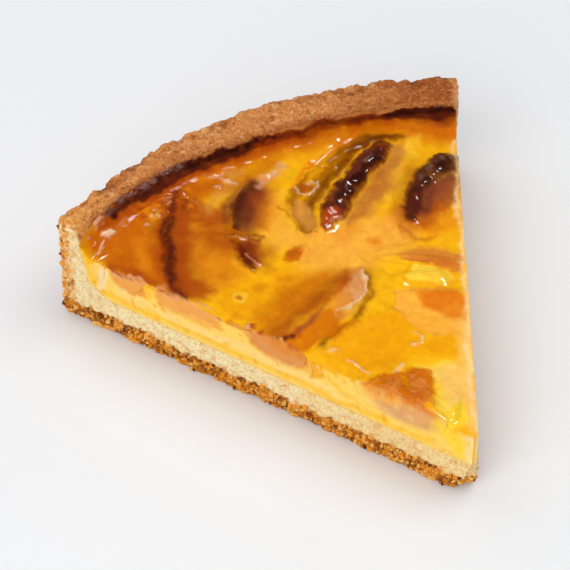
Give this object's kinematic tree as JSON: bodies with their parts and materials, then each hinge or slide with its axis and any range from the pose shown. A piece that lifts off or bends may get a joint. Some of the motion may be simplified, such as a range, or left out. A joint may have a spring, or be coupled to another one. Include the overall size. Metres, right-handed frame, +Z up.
{
  "type": "slice of apple tart",
  "caption": "Wedge-shaped slice of baked apple tart: fluted shortcrust shell, set custard filling and browned, glazed apple wedges sunk in it.",
  "frame": {"origin": "middle of the slice's bounding box in plan, on the surface it lies on", "axes": "+Z up; +Y from the point of the slice towards the rim, along the line that halves it; +X to the right when seen from the point"},
  "size_m": [0.1159, 0.1189, 0.0306],
  "materials": {
    "pastry": "matte, sandy baked shortcrust, browned outside and pale inside",
    "custard": "glossy glazed custard skin, satin on the cut",
    "apple": "glazed, translucent baked apple with dark caramelised edges"
  },
  "bodies": {
    "root": {"crust": "pastry", "custard": "custard", "apple_back": "apple", "apple_right": "apple", "apple_middle": "apple", "apple_left": "apple", "apple_corner": "apple", "apple_centre": "apple", "apple_low": "apple", "apple_side": "apple", "apple_tip": "apple", "apple_chip": "apple"}
  },
  "joints": []
}
